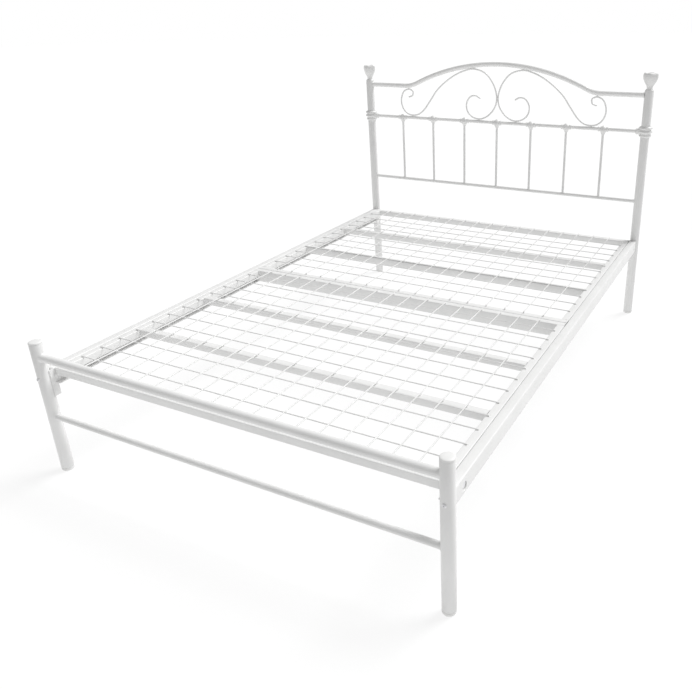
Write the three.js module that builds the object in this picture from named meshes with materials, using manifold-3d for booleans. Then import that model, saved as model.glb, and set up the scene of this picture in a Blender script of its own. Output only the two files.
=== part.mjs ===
// Double metal bed frame: scrolled headboard, low footboard, two side rails and a wire mesh
// deck in two sections. Millimetres. +Y points from the foot to the head, +X to the right of
// someone looking from the foot, +Z up. The origin is on the floor, under the middle of the bed.
import * as THREE from 'three';
import { mergeVertices } from 'three/addons/utils/BufferGeometryUtils.js';
import Module from 'manifold-3d';

const wasm = await Module();
wasm.setup();

// ---- Driving dimensions ----------------------------------------------------------------

const GAP = 0.3;                    // clearance left between touching pieces
const POST_SEGMENTS = 24;

const POST_SPACING_X = 1362;        // between post axes, across the bed
const POST_SPACING_Y = 1976;        // between post axes, foot to head
const POST_RADIUS = 19;
const POST_WALL = 1.2;
const HEAD_POST_TOP = 1010;
const FOOT_POST_TOP = 451;
const GLIDE_HEIGHT = 12;            // the part of a floor glide below the tube

const TOP_RAIL_RADIUS = 10.5;       // arched headboard rail
const TOP_RAIL_WALL = 1.2;
const TOP_RAIL_Z = 994;             // its straight ends
const ARCH_TOP_Z = 1103;            // highest point of its centre line
const ARCH_RADIUS = 962;
const ARCH_END_X = 415;             // where the arc gives way to the bend

const ROD_RADIUS = 7.5;             // headboard middle and lower rails
const MIDDLE_RAIL_Z = 844;
const LOWER_RAIL_Z = 538;
const SPINDLE_COUNT = 7;
const SPINDLE_SPACING = 166.6;
const SPINDLE_RADIUS = 5.5;
const SCROLL_RADIUS = 3.7;

const FOOT_TOP_RAIL_RADIUS = 12.7;
const FOOT_TOP_RAIL_Z = 405;
const FOOT_LOWER_RAIL_RADIUS = 9.5;
const FOOT_LOWER_RAIL_Z = 199;
const TUBE_WALL = 1.2;

const DECK_Z = 360;                 // top of the side rails and of the deck frames
const SIDE_RAIL_OUTER_X = 691;
const SIDE_RAIL_WIDTH = 29;
const SIDE_RAIL_HEIGHT = 50;
const SIDE_RAIL_WALL = 1.5;
const LIP_WIDTH = 17;               // the lip along the bottom of a side rail, towards the bed's middle
const LIP_THICKNESS = 3;
const BRACKET_DEPTH = 10;
const BRACKET_BOTTOM_Z = 269;
const BRACKET_PLATE = 3;

const BAR = 25;                     // width and height of the deck's square tube bars
const BAR_WALL = 1.2;
const JOINT_BAR_HEIGHT = 46.7;      // the two bars where the deck sections meet; they rest on the lips
const DECK_SIDE_X = 661;            // outer face of the deck's side bars
const WIRE_RADIUS = 2.3;            // to the ridges of the square-drawn wire
const WIRE_PITCH = 71.6;
const WIRE_COLUMNS = 17;
const WIRE_ROWS = 12;
const WIRE_SINK = 1.0;              // how far crossing wires are welded into each other
const WIRE_OVERLAP = 9;             // how far a wire's end lies on the bar it is welded to

const BOLT_RADIUS = 3;
const BOLT_HEAD_RADIUS = 5.5;
const BOLT_HEAD_HEIGHT = 4;
const FOOT_BOLT_Z = 336;
const HEAD_BOLT_Z = 328;
const FOOT_NUT_DEPTH = 69;          // from the post's axis to the barrel nut in the side rail
const FOOT_NUT_RADIUS = 9;
const FOOT_HOLE_RADIUS = 12.5;      // hole in the rail's outer wall, over the nut
const FOOT_HOLE_DROP = 5;           // how far that hole's middle is below the bolt
const HEAD_NUT_DEPTH = 46;
const HEAD_NUT_RADIUS = 5.5;
const HEAD_HOLE_RADIUS = 6.2;
const FINIAL_TIP_RADIUS = 31;

// ---- Places worked out from them ---------------------------------------------------------

const POST_X = POST_SPACING_X / 2;
const FOOT_REACH = POST_RADIUS + BOLT_HEAD_HEIGHT;
const FOOT_Y = (FOOT_REACH - FINIAL_TIP_RADIUS - POST_SPACING_Y) / 2;
const HEAD_Y = FOOT_Y + POST_SPACING_Y;
const SIDE_RAIL_INNER_X = SIDE_RAIL_OUTER_X - SIDE_RAIL_WIDTH;
const SIDE_RAIL_END = POST_RADIUS + GAP + BRACKET_PLATE + GAP;   // from a post's axis

// Bars of the two deck sections: distance of each bar's foot-side face from the foot posts' axis.
const FOOT_SECTION = { name: 'foot', bars: [27, 334, 637, 954], firstWire: 112.5 };
const HEAD_SECTION = { name: 'head', bars: [981, 1284, 1592, 1936], firstWire: 1075 };

// ---- Materials ---------------------------------------------------------------------------

const painted = () => new THREE.MeshStandardMaterial({ color: 0xf1f1ef, roughness: 0.38, metalness: 0.05 });
const castPaint = () => new THREE.MeshStandardMaterial({ color: 0xf0f0ee, roughness: 0.45, metalness: 0.05 });
const wirePaint = () => new THREE.MeshStandardMaterial({ color: 0xf3f3f1, roughness: 0.42, metalness: 0.05 });
const plastic = () => new THREE.MeshStandardMaterial({ color: 0xf4f4f2, roughness: 0.5, metalness: 0 });
const zinc = () => new THREE.MeshStandardMaterial({ color: 0xb9bbbd, roughness: 0.35, metalness: 0.85 });

// ---- Helpers -----------------------------------------------------------------------------

// A closed geometry as a solid that can be joined and cut.
function solid(geometry) {
  const bare = geometry.clone();
  bare.deleteAttribute('normal');
  bare.deleteAttribute('uv');
  const merged = mergeVertices(bare, 1e-3);
  const position = merged.getAttribute('position');
  const kept = [];
  const index = merged.getIndex().array;
  for (let i = 0; i < index.length; i += 3) {
    const [a, b, c] = [index[i], index[i + 1], index[i + 2]];
    if (a !== b && b !== c && c !== a) kept.push(a, b, c);
  }
  const volume = signedVolume(position, kept);
  if (volume < 0) kept.reverse();
  return new wasm.Manifold(new wasm.Mesh({
    numProp: 3,
    vertProperties: new Float32Array(position.array),
    triVerts: new Uint32Array(kept),
  }));
}

function signedVolume(position, triangles) {
  const [a, b, c] = [new THREE.Vector3(), new THREE.Vector3(), new THREE.Vector3()];
  let sum = 0;
  for (let i = 0; i < triangles.length; i += 3) {
    a.fromBufferAttribute(position, triangles[i]);
    b.fromBufferAttribute(position, triangles[i + 1]);
    c.fromBufferAttribute(position, triangles[i + 2]);
    sum += a.dot(b.cross(c)) / 6;
  }
  return sum;
}

// The surface of a solid, for a mesh.
function surface(body) {
  const mesh = body.getMesh();
  const geometry = new THREE.BufferGeometry();
  geometry.setAttribute('position', new THREE.BufferAttribute(new Float32Array(mesh.vertProperties), 3));
  geometry.setIndex(new THREE.BufferAttribute(new Uint32Array(mesh.triVerts), 1));
  geometry.computeVertexNormals();
  return geometry;
}

const union = (bodies) => bodies.reduce((sum, body) => sum.add(body));

function piece(group, name, body, material, x = 0, y = 0, z = 0) {
  const mesh = new THREE.Mesh(surface(body), material);
  mesh.name = name;
  mesh.position.set(x, y, z);
  group.add(mesh);
}

// A solid of revolution about Z from [radius, z] pairs.
function turned(profile, segments) {
  const points = profile.map(([radius, z]) => new THREE.Vector2(radius, z));
  const geometry = new THREE.LatheGeometry(points, segments);
  geometry.rotateX(Math.PI / 2);
  return solid(geometry);
}

function rodZ(radius, bottom, top, segments) {
  return turned([[0, bottom], [radius, bottom], [radius, top], [0, top]], segments);
}

function tubeZ(radius, wall, bottom, top, segments) {
  const inner = radius - wall;
  return turned([[inner, bottom], [radius, bottom], [radius, top], [inner, top], [inner, bottom]], segments);
}

// The drill for a hole: its flats, not only its ridges, clear the radius given.
function drillZ(radius, bottom, top, segments) {
  return rodZ(radius / Math.cos(Math.PI / segments), bottom, top, segments);
}

const layAlongX = (body) => body.rotate([0, 90, 0]);
const layAlongY = (body) => body.rotate([90, 0, 0]);

function box(x0, x1, y0, y1, z0, z1) {
  const geometry = new THREE.BoxGeometry(x1 - x0, y1 - y0, z1 - z0);
  geometry.translate((x0 + x1) / 2, (y0 + y1) / 2, (z0 + z1) / 2);
  return solid(geometry);
}

// The space that the two posts of one board take, in that board's own frame.
function postSpace() {
  const post = drillZ(POST_RADIUS + GAP, -10, 1200, POST_SEGMENTS);
  return post.translate([POST_X, 0, 0]).add(post.translate([-POST_X, 0, 0]));
}

// ---- Posts and what they carry -----------------------------------------------------------

// A post tube, drilled through along Y for the bolt that holds the side rail.
function postTube(top, boltZ) {
  const tube = tubeZ(POST_RADIUS, POST_WALL, GLIDE_HEIGHT + GAP, top, POST_SEGMENTS);
  const drill = layAlongY(drillZ(BOLT_RADIUS + GAP, -30, 30, 12)).translate([0, 0, boltZ]);
  return tube.subtract(drill);
}

// Plastic floor glide: a low rounded foot with a plug that fits inside the tube.
function floorGlide() {
  const plug = POST_RADIUS - POST_WALL - GAP;
  return turned([
    [0, 0], [POST_RADIUS - 5, 0], [POST_RADIUS - 1, 2.5], [POST_RADIUS, 6],
    [POST_RADIUS, GLIDE_HEIGHT], [plug, GLIDE_HEIGHT], [plug, 30], [0, 30],
  ], POST_SEGMENTS);
}

// Plastic cap of a foot post: a slightly domed disc with a plug below it.
function postCap() {
  const plug = POST_RADIUS - POST_WALL - GAP;
  return turned([
    [0, -20], [plug, -20], [plug, GAP], [POST_RADIUS, GAP], [POST_RADIUS, 3.4],
    [POST_RADIUS - 3, 6], [0, 7.2],
  ], POST_SEGMENTS);
}

// Cast finial: a shoulder, a narrow neck, and a four-petalled cup that flares up to a shallow dished top.
function finial() {
  const rimHeight = 74;
  const flareStart = 22;
  const plug = POST_RADIUS - POST_WALL - GAP;
  const profile = [
    [0, -18], [plug, -18], [plug, GAP], [POST_RADIUS, GAP], [POST_RADIUS - 1, 4], [14, 8], [11.6, 11.5],
    [12.8, 14.5], [12.4, 17], [14.6, 22], [18.6, 29], [23, 38], [26.6, 48],
    [28.7, 60], [27.6, 69], [24, rimHeight], [19, rimHeight], [12, 71], [0, 70],
  ];
  const points = profile.map(([radius, z]) => new THREE.Vector2(radius, z));
  const geometry = new THREE.LatheGeometry(points, 20);
  geometry.rotateX(Math.PI / 2);
  const position = geometry.getAttribute('position');
  for (let i = 0; i < position.count; i += 1) {
    const [x, y, z] = [position.getX(i), position.getY(i), position.getZ(i)];
    const rise = THREE.MathUtils.smoothstep(z, flareStart, 48);
    const petal = Math.cos(4 * Math.atan2(y, x));
    const spread = 1 + 0.08 * rise * petal;
    const rim = THREE.MathUtils.smoothstep(z, 56, 69) * THREE.MathUtils.smoothstep(Math.hypot(x, y), 10, 19);
    const lift = 2.4 * rim * petal;
    position.setXYZ(i, x * spread, y * spread, z + lift);
  }
  return solid(geometry);
}

// Cast collar round a head post: three ridges and a socket for the middle rail.
// side is -1 on the left post and +1 on the right one; the socket points to the bed's middle.
function postCollar(side) {
  const bore = (POST_RADIUS + GAP) / Math.cos(Math.PI / 20);
  const rings = turned([
    [bore, -22], [23, -22], [26, -17], [22.5, -10], [24, -4], [30, -1], [29, 3],
    [23, 8], [29, 13], [29, 17], [24, 22], [bore, 22], [bore, -22],
  ], 20);
  const socket = layAlongX(turned([
    [0, 0], [18, 0], [18, 19], [15, 28], [12.8, 33], [12.8, 40], [0, 41],
  ], 12));
  const drill = layAlongX(drillZ(ROD_RADIUS + GAP, 0, 60, 12));
  const post = drillZ(POST_RADIUS + GAP, -40, 40, 20);
  const facing = side > 0 ? 180 : 0;
  return rings.add(socket.rotate([0, 0, facing]).subtract(post)).subtract(drill.rotate([0, 0, facing]));
}

// ---- Headboard ---------------------------------------------------------------------------

// The centre line of the arched top rail: straight ends, a bend each side, and one arc.
function topRailPath() {
  const centreZ = ARCH_TOP_Z - ARCH_RADIUS;
  const drop = Math.sqrt(ARCH_RADIUS ** 2 - ARCH_END_X ** 2);
  const arcEndZ = centreZ + drop;
  const cornerX = ARCH_END_X + (arcEndZ - TOP_RAIL_Z) * drop / ARCH_END_X;
  const bendEndX = cornerX + Math.hypot(cornerX - ARCH_END_X, arcEndZ - TOP_RAIL_Z);
  const at = (x, z) => new THREE.Vector3(x, 0, z);
  const path = new THREE.CurvePath();
  path.add(new THREE.LineCurve3(at(-POST_X, TOP_RAIL_Z), at(-bendEndX, TOP_RAIL_Z)));
  path.add(new THREE.QuadraticBezierCurve3(
    at(-bendEndX, TOP_RAIL_Z), at(-cornerX, TOP_RAIL_Z), at(-ARCH_END_X, arcEndZ)));
  const halfAngle = Math.asin(ARCH_END_X / ARCH_RADIUS);
  const arcPoints = [];
  for (let i = 0; i <= 12; i += 1) {
    const angle = halfAngle * (i / 6 - 1);
    arcPoints.push(at(ARCH_RADIUS * Math.sin(angle), centreZ + ARCH_RADIUS * Math.cos(angle)));
  }
  path.add(new THREE.CatmullRomCurve3(arcPoints));
  path.add(new THREE.QuadraticBezierCurve3(
    at(ARCH_END_X, arcEndZ), at(cornerX, TOP_RAIL_Z), at(bendEndX, TOP_RAIL_Z)));
  path.add(new THREE.LineCurve3(at(bendEndX, TOP_RAIL_Z), at(POST_X, TOP_RAIL_Z)));
  return path;
}

// A round bar or tube along points that lie in the board's plane (y = 0). Each point gets a
// ring across the path, so bends keep their full thickness.
function sweptInPlane(points, radius, sides, innerRadius = 0) {
  const rings = points.map((point, i) => {
    const before = points[Math.max(i - 1, 0)];
    const after = points[Math.min(i + 1, points.length - 1)];
    const along = new THREE.Vector3().subVectors(after, before).normalize();
    const across = new THREE.Vector3(-along.z, 0, along.x);
    return { point, across };
  });
  const ringOf = ({ point, across }, r) => {
    const ring = [];
    for (let k = 0; k < sides; k += 1) {
      const angle = 2 * Math.PI * k / sides;
      ring.push(point.clone().addScaledVector(across, r * Math.cos(angle))
        .add(new THREE.Vector3(0, r * Math.sin(angle), 0)));
    }
    return ring;
  };
  const vertices = rings.flatMap((ring) => ringOf(ring, radius));
  if (innerRadius > 0) vertices.push(...rings.flatMap((ring) => ringOf(ring, innerRadius)));
  const last = rings.length - 1;
  const outer = (i, k) => i * sides + (k % sides);
  const inner = (i, k) => rings.length * sides + outer(i, k);
  const triangles = [];
  const quad = (a, b, c, d) => triangles.push(a, b, c, a, c, d);
  for (let k = 0; k < sides; k += 1) {
    for (let i = 0; i < last; i += 1) {
      quad(outer(i, k), outer(i, k + 1), outer(i + 1, k + 1), outer(i + 1, k));
      if (innerRadius > 0) quad(inner(i, k), inner(i + 1, k), inner(i + 1, k + 1), inner(i, k + 1));
    }
    if (innerRadius > 0) {
      quad(outer(0, k), inner(0, k), inner(0, k + 1), outer(0, k + 1));
      quad(outer(last, k), outer(last, k + 1), inner(last, k + 1), inner(last, k));
    }
  }
  for (let k = 1; innerRadius === 0 && k < sides - 1; k += 1) {
    triangles.push(outer(0, 0), outer(0, k + 1), outer(0, k));
    triangles.push(outer(last, 0), outer(last, k), outer(last, k + 1));
  }
  const geometry = new THREE.BufferGeometry();
  const numbers = vertices.flatMap((v) => v.toArray());
  geometry.setAttribute('position', new THREE.Float32BufferAttribute(numbers, 3));
  geometry.setIndex(triangles);
  return solid(geometry);
}

function topRail() {
  const curves = topRailPath().curves;
  const steps = [1, 3, 14, 3, 1];
  const points = [curves[0].getPoint(0)];
  curves.forEach((curve, i) => {
    for (let step = 1; step <= steps[i]; step += 1) points.push(curve.getPoint(step / steps[i]));
  });
  const tube = sweptInPlane(points, TOP_RAIL_RADIUS, 12, TOP_RAIL_RADIUS - TOP_RAIL_WALL);
  return tube.subtract(postSpace());
}

// A straight round rail between the two posts of a board, coped to fit against them.
function straightRail(radius, z, wall = 0) {
  const blank = wall > 0 ? tubeZ(radius, wall, -POST_X, POST_X, 16) : rodZ(radius, -POST_X, POST_X, 12);
  return layAlongX(blank).translate([0, 0, z]).subtract(postSpace());
}

// A spindle from the lower to the middle rail, coped at both ends, in its own frame at x = 0.
function spindle() {
  const rail = layAlongX(drillZ(ROD_RADIUS + GAP, -40, 40, 12));
  const blank = rodZ(SPINDLE_RADIUS, LOWER_RAIL_Z, MIDDLE_RAIL_Z, 12);
  return blank.subtract(rail.translate([0, 0, LOWER_RAIL_Z])).subtract(rail.translate([0, 0, MIDDLE_RAIL_Z]));
}

// Cast knuckle where a spindle meets the middle rail: a sleeve along the rail, a squat ball
// and a tapered socket round the spindle's top, in its own frame on the rail's axis.
function knuckle() {
  const ball = turned([
    [0, -22], [8, -22], [8.6, -18], [13, -12], [17, -4], [15.5, 5], [9, 13], [0, 16.5],
  ], 12);
  const half = 23;
  const sleeve = layAlongX(turned([
    [0, -half], [9.6, -half], [11, -half + 4], [10, -half + 8],
    [10, half - 8], [11, half - 4], [9.6, half], [0, half],
  ], 10));
  const railBore = layAlongX(drillZ(ROD_RADIUS + GAP, -40, 40, 12));
  const spindleBore = drillZ(SPINDLE_RADIUS + GAP, -40, 0, 12);
  return ball.add(sleeve).subtract(railBore).subtract(spindleBore);
}

// Half of the scrollwork: points [x, z] on the right-hand rod's centre line, from the small
// outer curl, along the middle rail, up under the arch, down the middle and into the inner curl.
const SCROLL_POINTS = [
  [462, 942], [443, 950], [441, 969], [463, 978.5], [491, 966], [506, 925], [497, 887], [473, 863],
  [444, 856.3], [412, 862], [383, 883], [346, 930], [312, 976], [265, 1018], [215, 1050.5], [168, 1070.5],
  [122, 1079.8], [64, 1064], [24, 1020], [5, 970], [7, 926], [27, 891], [58, 865.5], [92, 856.3],
  [128, 866], [152, 892], [154, 929], [134, 957], [108, 961], [88, 951],
];

function scroll(side) {
  const knots = SCROLL_POINTS.map(([x, z]) => new THREE.Vector3(side * x, 0, z));
  const curve = new THREE.CatmullRomCurve3(knots, false, 'centripetal');
  const steps = 64;
  const points = [];
  for (let i = 0; i <= steps; i += 1) points.push(curve.getPointAt(i / steps));
  return sweptInPlane(points, SCROLL_RADIUS, 6);
}

function headboard() {
  const board = new THREE.Group();
  board.position.y = HEAD_Y;
  for (const [name, side] of [['left', -1], ['right', 1]]) {
    const x = side * POST_X;
    piece(board, `head_post_${name}`, postTube(HEAD_POST_TOP, HEAD_BOLT_Z), painted(), x);
    piece(board, `head_floor_glide_${name}`, floorGlide(), plastic(), x);
    piece(board, `finial_${name}`, finial(), castPaint(), x, 0, HEAD_POST_TOP);
    piece(board, `post_collar_${name}`, postCollar(side), castPaint(), x, 0, MIDDLE_RAIL_Z);
    piece(board, `scroll_${name}`, scroll(side), painted());
  }
  piece(board, 'head_top_rail', topRail(), painted());
  piece(board, 'head_middle_rail', straightRail(ROD_RADIUS, MIDDLE_RAIL_Z), painted());
  piece(board, 'head_lower_rail', straightRail(ROD_RADIUS, LOWER_RAIL_Z), painted());
  for (let i = 0; i < SPINDLE_COUNT; i += 1) {
    const x = (i - (SPINDLE_COUNT - 1) / 2) * SPINDLE_SPACING;
    piece(board, `spindle_${i + 1}`, spindle(), painted(), x);
    piece(board, `spindle_knuckle_${i + 1}`, knuckle(), castPaint(), x, 0, MIDDLE_RAIL_Z);
  }
  return board;
}

// ---- Footboard ---------------------------------------------------------------------------

function footboard() {
  const board = new THREE.Group();
  board.position.y = FOOT_Y;
  for (const [name, side] of [['left', -1], ['right', 1]]) {
    const x = side * POST_X;
    piece(board, `foot_post_${name}`, postTube(FOOT_POST_TOP, FOOT_BOLT_Z), painted(), x);
    piece(board, `foot_floor_glide_${name}`, floorGlide(), plastic(), x);
    piece(board, `foot_post_cap_${name}`, postCap(), plastic(), x, 0, FOOT_POST_TOP);
  }
  piece(board, 'foot_top_rail', straightRail(FOOT_TOP_RAIL_RADIUS, FOOT_TOP_RAIL_Z, TUBE_WALL), painted());
  const lowerRail = straightRail(FOOT_LOWER_RAIL_RADIUS, FOOT_LOWER_RAIL_Z, TUBE_WALL);
  piece(board, 'foot_lower_rail', lowerRail, painted());
  return board;
}

// ---- Side rails, brackets and bolts ------------------------------------------------------

// Corner pieces are made for the right-hand foot corner, in the frame of its post, with the
// rail running towards +Y, and turned to face the right way at the other corners.
const FOOT_END = { y: FOOT_Y, along: 1, nut: FOOT_NUT_DEPTH, nutRadius: FOOT_NUT_RADIUS, z: FOOT_BOLT_Z };
const HEAD_END = { y: HEAD_Y, along: -1, nut: HEAD_NUT_DEPTH, nutRadius: HEAD_NUT_RADIUS, z: HEAD_BOLT_Z };
const CORNERS = [
  { name: 'foot_right', side: 1, ...FOOT_END },
  { name: 'foot_left', side: -1, ...FOOT_END },
  { name: 'head_right', side: 1, ...HEAD_END },
  { name: 'head_left', side: -1, ...HEAD_END },
];

const mirrorTo = (body, { side, along }) => {
  const turnedX = side > 0 ? body : body.mirror([1, 0, 0]);
  return along > 0 ? turnedX : turnedX.mirror([0, 1, 0]);
};

// A rectangular tube with a lip along its bottom inner edge, and a round hole in its outer wall
// at each end, over the barrel nuts.
function sideRail(side) {
  const [x0, x1] = [SIDE_RAIL_INNER_X, SIDE_RAIL_OUTER_X];
  const [y0, y1] = [FOOT_Y + SIDE_RAIL_END, HEAD_Y - SIDE_RAIL_END];
  const [z0, z1] = [DECK_Z - SIDE_RAIL_HEIGHT, DECK_Z];
  const wall = SIDE_RAIL_WALL;
  const corner = 3;
  const outline = new THREE.Shape();
  outline.moveTo(x0 + corner, z0);
  outline.lineTo(x1 - corner, z0);
  outline.quadraticCurveTo(x1, z0, x1, z0 + corner);
  outline.lineTo(x1, z1 - corner);
  outline.quadraticCurveTo(x1, z1, x1 - corner, z1);
  outline.lineTo(x0 + corner, z1);
  outline.quadraticCurveTo(x0, z1, x0, z1 - corner);
  outline.lineTo(x0, z0 + corner);
  outline.quadraticCurveTo(x0, z0, x0 + corner, z0);
  const blank = new THREE.ExtrudeGeometry(outline, { depth: y1 - y0, bevelEnabled: false, curveSegments: 3 });
  blank.rotateX(Math.PI / 2);
  blank.translate(0, y1, 0);
  const bore = box(x0 + wall, x1 - wall, y0 - 10, y1 + 10, z0 + wall, z1 - wall);
  const hole = (y, z, radius) => layAlongX(rodZ(radius, 0, 20, 16)).translate([x1 - 10, y, z]);
  const lip = box(x0 - LIP_WIDTH, x0 + corner, y0, y1, z0, z0 + LIP_THICKNESS);
  const rail = solid(blank).add(lip).subtract(bore)
    .subtract(hole(FOOT_Y + FOOT_NUT_DEPTH, FOOT_BOLT_Z - FOOT_HOLE_DROP, FOOT_HOLE_RADIUS))
    .subtract(hole(HEAD_Y - HEAD_NUT_DEPTH, HEAD_BOLT_Z, HEAD_HOLE_RADIUS));
  return side > 0 ? rail : rail.mirror([1, 0, 0]);
}

// A bracket welded to the back of a post. Its flange closes the end of the side rail and takes
// the bolt; a side plate hangs below the rail, which rests on the plate's top edge.
function cornerBracket(boltZ) {
  const [x0, x1] = [SIDE_RAIL_INNER_X - POST_X, SIDE_RAIL_OUTER_X - POST_X];
  const y0 = POST_RADIUS + GAP;
  const railBottom = DECK_Z - SIDE_RAIL_HEIGHT;
  const flange = box(x0, x1, y0, y0 + BRACKET_PLATE, railBottom - 20, DECK_Z - 1);
  const sidePlate = box(x0, x0 + BRACKET_PLATE, y0, y0 + BRACKET_DEPTH, BRACKET_BOTTOM_Z, railBottom - GAP);
  const drill = layAlongY(drillZ(BOLT_RADIUS + GAP, -60, 60, 12)).translate([0, 0, boltZ]);
  return flange.add(sidePlate).subtract(drill);
}

// A long bolt through the post and bracket, screwed into a barrel nut inside the side rail.
function railBolt({ nut: nutDepth, nutRadius, z: boltZ }) {
  const head = layAlongY(turned([
    [0, 0], [BOLT_HEAD_RADIUS, 0], [BOLT_HEAD_RADIUS, 1.6], [4, 3.5], [0, BOLT_HEAD_HEIGHT],
  ], 12)).translate([0, -POST_RADIUS, 0]);
  const shank = layAlongY(rodZ(BOLT_RADIUS, -(nutDepth + 8), POST_RADIUS + 1, 12));
  const nutReach = SIDE_RAIL_WALL + GAP;
  const nutLeft = SIDE_RAIL_INNER_X - POST_X + nutReach;
  const nutRight = SIDE_RAIL_OUTER_X - POST_X - nutReach;
  const nut = layAlongX(rodZ(nutRadius, nutLeft, nutRight, 16)).translate([0, nutDepth, 0]);
  return union([head, shank, nut]).translate([0, 0, boltZ]);
}

function sideRailsAndCorners() {
  const group = new THREE.Group();
  piece(group, 'side_rail_left', sideRail(-1), painted());
  piece(group, 'side_rail_right', sideRail(1), painted());
  for (const corner of CORNERS) {
    const x = corner.side * POST_X;
    const bracket = mirrorTo(cornerBracket(corner.z), corner);
    const bolt = mirrorTo(railBolt(corner), corner);
    piece(group, `bracket_${corner.name}`, bracket, painted(), x, corner.y);
    piece(group, `bolt_${corner.name}`, bolt, zinc(), x, corner.y);
  }
  return group;
}

// ---- Deck --------------------------------------------------------------------------------

// A rectangular steel tube across the deck, open at its ends.
function crossBar(halfLength, height) {
  const wall = BAR_WALL;
  const block = box(-halfLength, halfLength, 0, BAR, DECK_Z - height, DECK_Z);
  return block.subtract(box(-999, 999, wall, BAR - wall, DECK_Z - height + wall, DECK_Z - wall));
}

// A deck section's side bar, which fits between the section's first and last bars.
function deckSideBar(length) {
  const wall = BAR_WALL;
  const inside = BAR / 2 - wall;
  const block = box(-BAR / 2, BAR / 2, 0, length, DECK_Z - BAR, DECK_Z);
  return block.subtract(box(-inside, inside, -9, length + 9, DECK_Z - BAR + wall, DECK_Z - wall));
}

// The wires of one section: rows lie on the side bars, and columns are welded on top of them.
function wireMesh(section) {
  const rowZ = DECK_Z + GAP + WIRE_RADIUS;
  const columnZ = rowZ + 2 * WIRE_RADIUS - WIRE_SINK;
  const rowHalf = DECK_SIDE_X - BAR + WIRE_OVERLAP;
  const columnStart = section.bars[0] + BAR - WIRE_OVERLAP;
  const columnEnd = section.bars[section.bars.length - 1] + WIRE_OVERLAP;
  const rowWire = layAlongX(rodZ(WIRE_RADIUS, -rowHalf, rowHalf, 4));
  const columnWire = layAlongY(rodZ(WIRE_RADIUS, -columnEnd, -columnStart, 4));
  const rows = [];
  for (let row = 0; row < WIRE_ROWS; row += 1) {
    rows.push(rowWire.translate([0, section.firstWire + row * WIRE_PITCH, rowZ]));
  }
  const columns = [];
  for (let column = 0; column < WIRE_COLUMNS; column += 1) {
    const x = (column - (WIRE_COLUMNS - 1) / 2) * WIRE_PITCH;
    columns.push(columnWire.translate([x, 0, columnZ]));
  }
  return union(rows).add(union(columns));
}

function deck() {
  const group = new THREE.Group();
  group.position.y = FOOT_Y;
  for (const section of [FOOT_SECTION, HEAD_SECTION]) {
    const { name, bars } = section;
    const last = bars.length - 1;
    const atJoin = name === 'foot' ? last : 0;
    bars.forEach((y, i) => {
      const isEnd = i === 0 || i === last;
      const label = i === atJoin ? `${name}_deck_joint_bar` : `${name}_deck_${isEnd ? 'end' : 'cross'}_bar`;
      const height = i === atJoin ? JOINT_BAR_HEIGHT : BAR;
      const halfLength = isEnd ? DECK_SIDE_X : DECK_SIDE_X - BAR - GAP;
      piece(group, isEnd ? label : `${label}_${i}`, crossBar(halfLength, height), painted(), 0, y);
    });
    const sideStart = bars[0] + BAR + GAP;
    const sideLength = bars[last] - GAP - sideStart;
    for (const [hand, side] of [['left', -1], ['right', 1]]) {
      const x = side * (DECK_SIDE_X - BAR / 2);
      piece(group, `${name}_deck_side_bar_${hand}`, deckSideBar(sideLength), painted(), x, sideStart);
    }
    piece(group, `${name}_deck_mesh`, wireMesh(section), wirePaint());
  }
  return group;
}

// ---- The whole bed -----------------------------------------------------------------------

const bed = new THREE.Group();
bed.add(headboard(), footboard(), sideRailsAndCorners(), deck());

export default bed;
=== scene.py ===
"""Looks for the white metal double bed frame. Metres, in the frame's own axes: +Y to the head, +Z up.

Every piece is built here as a fine mesh in the place of its CAD node and rides the one body, "root".
"""

import math

import bmesh
import bpy
from mathutils import Matrix, Vector, noise


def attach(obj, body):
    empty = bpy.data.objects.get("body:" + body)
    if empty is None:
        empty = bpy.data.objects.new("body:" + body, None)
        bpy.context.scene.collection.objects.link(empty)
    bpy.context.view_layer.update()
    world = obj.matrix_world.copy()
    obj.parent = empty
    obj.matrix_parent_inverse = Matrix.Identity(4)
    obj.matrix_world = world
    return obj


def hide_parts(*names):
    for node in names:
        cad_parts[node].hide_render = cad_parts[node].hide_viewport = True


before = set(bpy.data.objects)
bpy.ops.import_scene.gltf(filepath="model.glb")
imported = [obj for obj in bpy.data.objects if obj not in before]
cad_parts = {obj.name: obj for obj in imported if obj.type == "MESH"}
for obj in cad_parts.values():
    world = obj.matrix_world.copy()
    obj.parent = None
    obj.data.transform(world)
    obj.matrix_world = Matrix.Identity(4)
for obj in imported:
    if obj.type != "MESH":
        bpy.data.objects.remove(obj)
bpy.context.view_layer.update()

MM = 0.001

# ---- The bed's own sizes, in millimetres ---------------------------------------------------

POST_X = 681.0
FOOT_Y = -992.0
HEAD_Y = 984.0
POST_R = 19.0
HEAD_POST_TOP = 1010.0
FOOT_POST_TOP = 451.0
GLIDE_H = 12.0
TOP_RAIL_R = 10.5
TOP_RAIL_Z = 994.0
ARCH_TOP_Z = 1103.0
ARCH_R = 962.0
ARCH_END_X = 415.0
ROD_R = 7.5
MIDDLE_Z = 844.0
LOWER_Z = 538.0
SPINDLE_PITCH = 166.6
SPINDLE_R = 5.5
SCROLL_R = 3.7
DECK_Z = 360.0
RAIL_IN, RAIL_OUT = 662.0, 691.0
RAIL_H = 50.0
BAR = 25.0
DECK_SIDE = 661.0
WIRE_R = 2.0
WIRE_PITCH = 71.6
FOOT_BOLT_Z, HEAD_BOLT_Z = 336.0, 328.0
FOOT_NUT, HEAD_NUT = 69.0, 46.0
FOOT_NUT_R, HEAD_NUT_R = 9.0, 5.5
FOOT_HOLE_R, HEAD_HOLE_R = 12.5, 6.2
FOOT_HOLE_DROP = 5.0
LIP_WIDTH, LIP_THICKNESS = 17.0, 3.0
JOINT_BAR_H = 46.7
RAIL_END = 22.6
FLANGE_DROP = 20.0
PLATE_T = 3.0
PLATE_BOTTOM_Z = 269.0
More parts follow.
